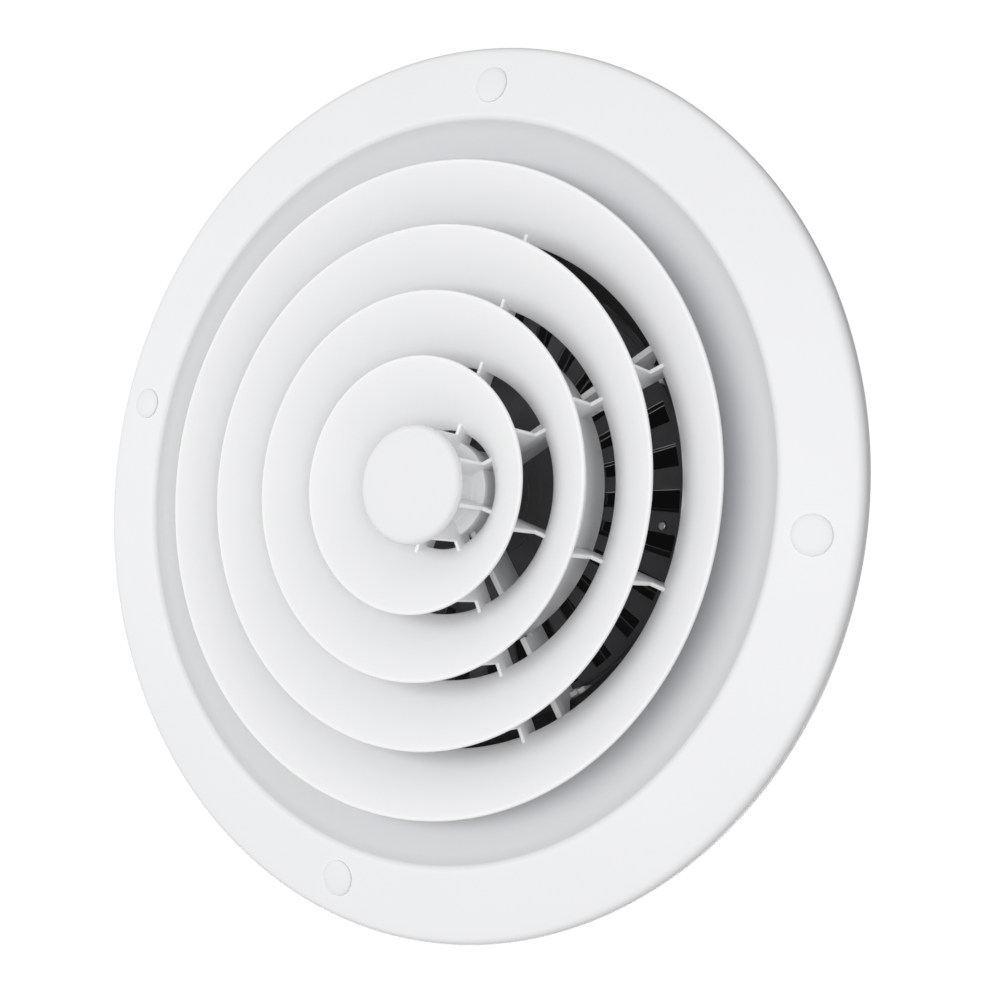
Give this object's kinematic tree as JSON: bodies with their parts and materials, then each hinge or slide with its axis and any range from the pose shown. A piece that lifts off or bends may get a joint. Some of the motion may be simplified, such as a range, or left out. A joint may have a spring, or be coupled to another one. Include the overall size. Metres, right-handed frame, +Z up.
{
  "type": "ceiling air diffuser",
  "caption": "Round ceiling air diffuser with nested cones on a lift-out core, a wide flange and a knob-turned sector shutter in its duct neck.",
  "frame": {"origin": "on the duct axis, at the height of the lowest point, which is the knob's face towards the room; the ceiling plane, where the flange rim and the screw bosses meet the ceiling, is at z = +12.15 mm", "axes": "+Z up along the duct axis into the ceiling void, the room is towards -Z, one fixing screw stands 4 degrees clockwise of +X seen from above"},
  "size_m": [0.35, 0.35, 0.0922],
  "materials": {
    "white_abs": "satin moulded plastic",
    "cap_abs": "satin moulded plastic",
    "pale_grey_abs": "satin moulded plastic",
    "shutter_grey": "matt dark grey",
    "glide_nylon": "waxy",
    "zinc_steel": "zinc plated",
    "seal_rubber": "matt",
    "foam": "open-cell foam"
  },
  "bodies": {
    "frame": {"bridge_rivet_1": "zinc_steel", "bridge_rivet_2": "zinc_steel", "bridge_rivet_3": "zinc_steel", "bridge_rivet_4": "zinc_steel", "ceiling_gasket": "foam", "duct_seal_ring": "seal_rubber", "glide_pad_1": "glide_nylon", "glide_pad_2": "glide_nylon", "glide_pad_3": "glide_nylon", "mounting_screw_1": "zinc_steel", "mounting_screw_2": "zinc_steel", "mounting_screw_3": "zinc_steel", "mounting_screw_4": "zinc_steel", "neck_bridge": "pale_grey_abs", "outer_frame": "white_abs", "pad_rivet_1": "zinc_steel", "pad_rivet_2": "zinc_steel", "pad_rivet_3": "zinc_steel", "shutter_stator": "shutter_grey", "stator_rivet_1": "zinc_steel", "stator_rivet_2": "zinc_steel", "stator_rivet_3": "zinc_steel", "stator_rivet_4": "zinc_steel"},
    "core": {"cone_1": "white_abs", "cone_2": "white_abs", "cone_3": "white_abs", "cone_4": "white_abs", "core_grip_ring": "seal_rubber", "core_hub_and_ribs": "cap_abs", "core_ring": "pale_grey_abs"},
    "knob": {"centre_knob": "white_abs", "knob_clip": "zinc_steel"},
    "rotor": {"shutter_rotor": "shutter_grey", "shutter_spindle": "zinc_steel", "spindle_circlip": "zinc_steel", "rotor_washer": "zinc_steel", "spindle_nut": "zinc_steel"},
    "cap_1": {"screw_cap_1": "cap_abs"},
    "cap_2": {"screw_cap_2": "cap_abs"},
    "cap_3": {"screw_cap_3": "cap_abs"},
    "cap_4": {"screw_cap_4": "cap_abs"}
  },
  "joints": [
    {"name": "core_drop", "type": "slide", "parent": "frame", "child": "core", "axis": [0, 0, -1], "range_m": [0, 0.045]},
    {"name": "knob_turn", "type": "hinge", "parent": "core", "child": "knob", "pos_m": [0, 0, 0.00025], "axis": [0, 0, -1], "range_deg": [-1, 5]},
    {"name": "shutter_turn", "type": "hinge", "parent": "frame", "child": "rotor", "pos_m": [0, 0, 0.07015], "axis": [0, 0, -1], "range_deg": [-1, 5]},
    {"name": "cap_1_pull", "type": "slide", "parent": "frame", "child": "cap_1", "axis": [0, 0, -1], "range_m": [0, 0.012]},
    {"name": "cap_2_pull", "type": "slide", "parent": "frame", "child": "cap_2", "axis": [0, 0, -1], "range_m": [0, 0.012]},
    {"name": "cap_3_pull", "type": "slide", "parent": "frame", "child": "cap_3", "axis": [0, 0, -1], "range_m": [0, 0.012]},
    {"name": "cap_4_pull", "type": "slide", "parent": "frame", "child": "cap_4", "axis": [0, 0, -1], "range_m": [0, 0.012]}
  ],
  "couplings": [
    {"joint": "shutter_turn", "follows": "knob_turn", "ratio": 1}
  ]
}
